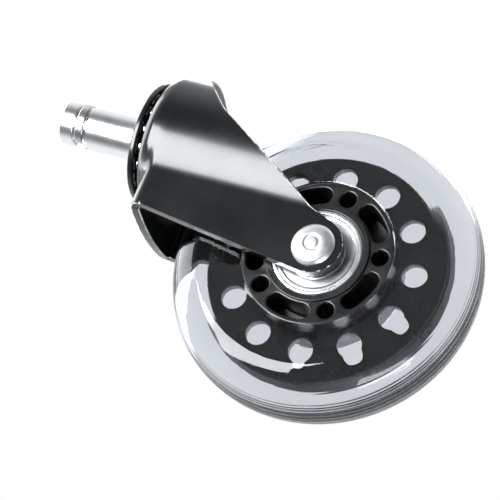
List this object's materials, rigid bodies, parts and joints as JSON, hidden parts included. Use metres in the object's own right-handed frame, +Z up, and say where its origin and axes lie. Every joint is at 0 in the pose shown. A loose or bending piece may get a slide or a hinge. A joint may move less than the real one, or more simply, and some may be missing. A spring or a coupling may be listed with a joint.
{
  "type": "swivel caster wheel",
  "caption": "Swivel chair caster with a grip-ring stem, pressed steel fork, ball-race head and a clear-tyred wheel on ball bearings.",
  "frame": {"origin": "on the swivel axis at the foot of the stem, level with the top face of the swivel disc", "axes": "+Z up the stem; +X from the swivel axis towards the trailing wheel; +Y along the axle towards the rivet's domed head"},
  "size_m": [0.077, 0.0358, 0.1168],
  "materials": {
    "plated_steel": "bright nickel-zinc plate with fine turning marks",
    "ring_spring": "bright spring steel",
    "black_race": "gloss black enamel",
    "bare_race": "pressed zinc-plated steel",
    "ball_steel": "polished ball steel",
    "fork_paint": "gloss black enamel on pressed steel",
    "rivet_plate": "bright zinc plate",
    "spacer_steel": "turned steel",
    "bush_nylon": "black moulded nylon",
    "bearing_steel": "ground bearing steel",
    "shield_steel": "pressed bright steel",
    "cage_steel": "pressed steel",
    "hub_nylon": "black moulded nylon",
    "clear_tyre": "clear, slightly smoky polyurethane, polished"
  },
  "bodies": {
    "stem_head": {"stem": "plated_steel", "grip_ring": "ring_spring", "upper_race": "black_race", "lower_race": "bare_race"},
    "swivel_balls": {"upper_balls": "ball_steel", "lower_balls": "ball_steel"},
    "fork_frame": {"fork": "fork_paint", "axle_rivet": "rivet_plate", "bearing_spacer": "spacer_steel", "left_bush": "bush_nylon", "right_bush": "bush_nylon", "left_inner_ring": "bearing_steel", "right_inner_ring": "bearing_steel"},
    "wheel": {"hub": "hub_nylon", "tyre": "clear_tyre", "left_outer_ring": "bearing_steel", "right_outer_ring": "bearing_steel", "left_outer_shield": "shield_steel", "left_inner_shield": "shield_steel", "right_outer_shield": "shield_steel", "right_inner_shield": "shield_steel"},
    "bearing_cages": {"left_balls": "ball_steel", "right_balls": "ball_steel", "left_cage": "cage_steel", "right_cage": "cage_steel"}
  },
  "joints": [
    {"name": "swivel", "type": "hinge", "parent": "stem_head", "child": "fork_frame", "pos_m": [0, 0, 0], "axis": [0, 0, 1], "continuous": true},
    {"name": "ball_orbit", "type": "hinge", "parent": "stem_head", "child": "swivel_balls", "pos_m": [0, 0, 0], "axis": [0, 0, 1], "continuous": true},
    {"name": "wheel_spin", "type": "hinge", "parent": "fork_frame", "child": "wheel", "pos_m": [0.0216, 0, -0.0573], "axis": [0, 1, 0], "continuous": true},
    {"name": "cage_spin", "type": "hinge", "parent": "fork_frame", "child": "bearing_cages", "pos_m": [0.0216, 0, -0.0573], "axis": [0, 1, 0], "continuous": true}
  ],
  "couplings": [
    {"joint": "ball_orbit", "follows": "swivel", "ratio": 0.5},
    {"joint": "cage_spin", "follows": "wheel_spin", "ratio": 0.63}
  ]
}
